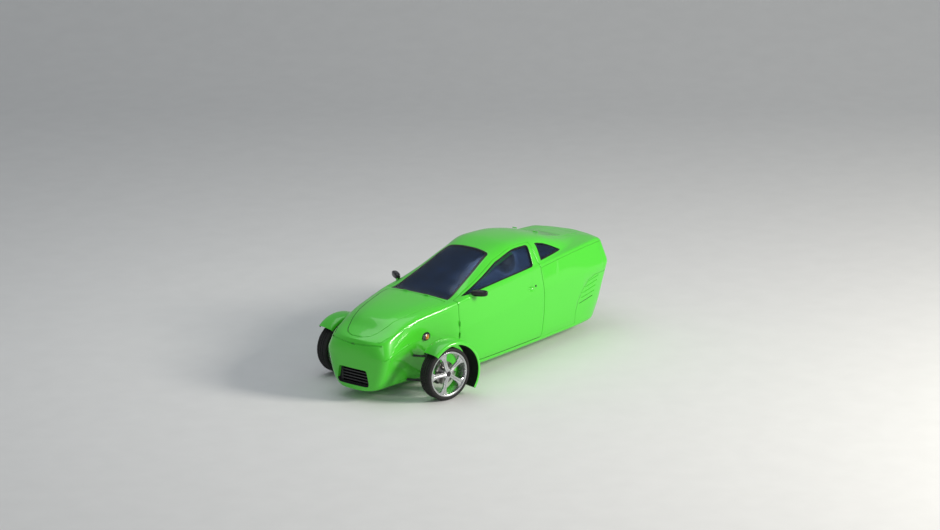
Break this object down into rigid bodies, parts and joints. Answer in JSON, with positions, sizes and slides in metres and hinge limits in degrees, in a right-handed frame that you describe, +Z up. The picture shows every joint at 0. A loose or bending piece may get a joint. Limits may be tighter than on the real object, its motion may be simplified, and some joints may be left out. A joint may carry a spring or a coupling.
{
  "type": "three wheeled car",
  "caption": "Enclosed narrow three-wheeled car with outboard steered front wheels, a single rear wheel, opening door, hood and hatch, and a cabin for driver and passenger.",
  "frame": {"origin": "on the ground, under the middle of the car's bounding box", "axes": "+X to the nose, +Y to the car's left, +Z up"},
  "size_m": [4.11, 1.8962, 1.3456],
  "materials": {
    "green_paint": "gloss bright green paint",
    "black_plastic": "satin black moulding",
    "glass": "dark tinted glass",
    "tyre": "matt black rubber",
    "alloy": "polished cast alloy",
    "dark_steel": "black coated steel tube",
    "cast_metal": "bare casting",
    "floor_black": "black liner",
    "seat_cloth": "dark grey woven cloth",
    "lamp": "amber lens in a black pod",
    "red_lens": "red lens"
  },
  "bodies": {
    "root": {"front_shell": "green_paint", "roof_shell": "green_paint", "quarter_left": "green_paint", "quarter_right": "green_paint", "tail_upper": "green_paint", "tail_lower": "green_paint", "floor_tray": "green_paint", "tail_tray": "green_paint", "side_right": "green_paint", "grille": "black_plastic", "dashboard": "black_plastic", "mirror_right": "black_plastic", "windshield": "glass", "side_glass_right": "glass", "quarter_glass_left": "glass", "quarter_glass_right": "glass", "lower_arm_left": "dark_steel", "lower_arm_right": "dark_steel", "upper_arm_left": "dark_steel", "upper_arm_right": "dark_steel", "swing_arm": "dark_steel", "engine_block": "cast_metal", "firewall": "floor_black", "rear_bulkhead": "floor_black", "front_seat": "seat_cloth", "rear_seat": "seat_cloth", "lamp_left": "lamp", "lamp_right": "lamp", "tail_lamp_left": "red_lens", "tail_lamp_right": "red_lens"},
    "door_left": {"door_left": "green_paint", "side_glass_left": "glass", "mirror_left": "black_plastic"},
    "hood": {"hood": "green_paint"},
    "hatch": {"hatch": "green_paint", "hatch_glass": "glass"},
    "steering_wheel": {"steering_wheel": "black_plastic"},
    "knuckle_left": {"knuckle_left": "cast_metal", "fender_left": "green_paint"},
    "knuckle_right": {"knuckle_right": "cast_metal", "fender_right": "green_paint"},
    "wheel_front_left": {"tyre_front_left": "tyre", "rim_front_left": "alloy"},
    "wheel_front_right": {"tyre_front_right": "tyre", "rim_front_right": "alloy"},
    "wheel_rear": {"tyre_rear": "tyre", "rim_rear": "alloy"}
  },
  "joints": [
    {"name": "door_left_hinge", "type": "hinge", "parent": "root", "child": "door_left", "pos_m": [0.848, 0.53656, 0.625], "axis": [0, 0, -1], "range_deg": [0, 65]},
    {"name": "hood_hinge", "type": "hinge", "parent": "root", "child": "hood", "pos_m": [0.942, -0.01844, 0.97154], "axis": [0, -1, 0], "range_deg": [0, 50]},
    {"name": "hatch_hinge", "type": "hinge", "parent": "root", "child": "hatch", "pos_m": [-1.057, -0.01844, 1.26284], "axis": [0, 1, 0], "range_deg": [0, 60]},
    {"name": "steer_left", "type": "hinge", "parent": "root", "child": "knuckle_left", "pos_m": [1.36, 0.62155, 0.3], "axis": [0, 0, 1], "range_deg": [-15.5, 38.5]},
    {"name": "steer_right", "type": "hinge", "parent": "root", "child": "knuckle_right", "pos_m": [1.36, -0.65844, 0.3], "axis": [0, 0, 1], "range_deg": [-15.5, 38.5]},
    {"name": "steering_wheel_turn", "type": "hinge", "parent": "root", "child": "steering_wheel", "pos_m": [0.39, -0.01844, 0.78], "axis": [-0.9063, 0, 0.4226], "range_deg": [-220, 545]},
    {"name": "spin_front_left", "type": "hinge", "parent": "knuckle_left", "child": "wheel_front_left", "pos_m": [1.38452, 0.74209, 0.298], "axis": [0.1994, 0.9799, 0], "continuous": true},
    {"name": "spin_front_right", "type": "hinge", "parent": "knuckle_right", "child": "wheel_front_right", "pos_m": [1.33548, -0.77898, 0.298], "axis": [0.1994, 0.9799, 0], "continuous": true},
    {"name": "spin_rear", "type": "hinge", "parent": "root", "child": "wheel_rear", "pos_m": [-1.434, -0.01844, 0.298], "axis": [0, 1, 0], "continuous": true}
  ],
  "couplings": [
    {"joint": "steer_right", "follows": "steer_left", "ratio": 1},
    {"joint": "steering_wheel_turn", "follows": "steer_left", "ratio": 14}
  ]
}
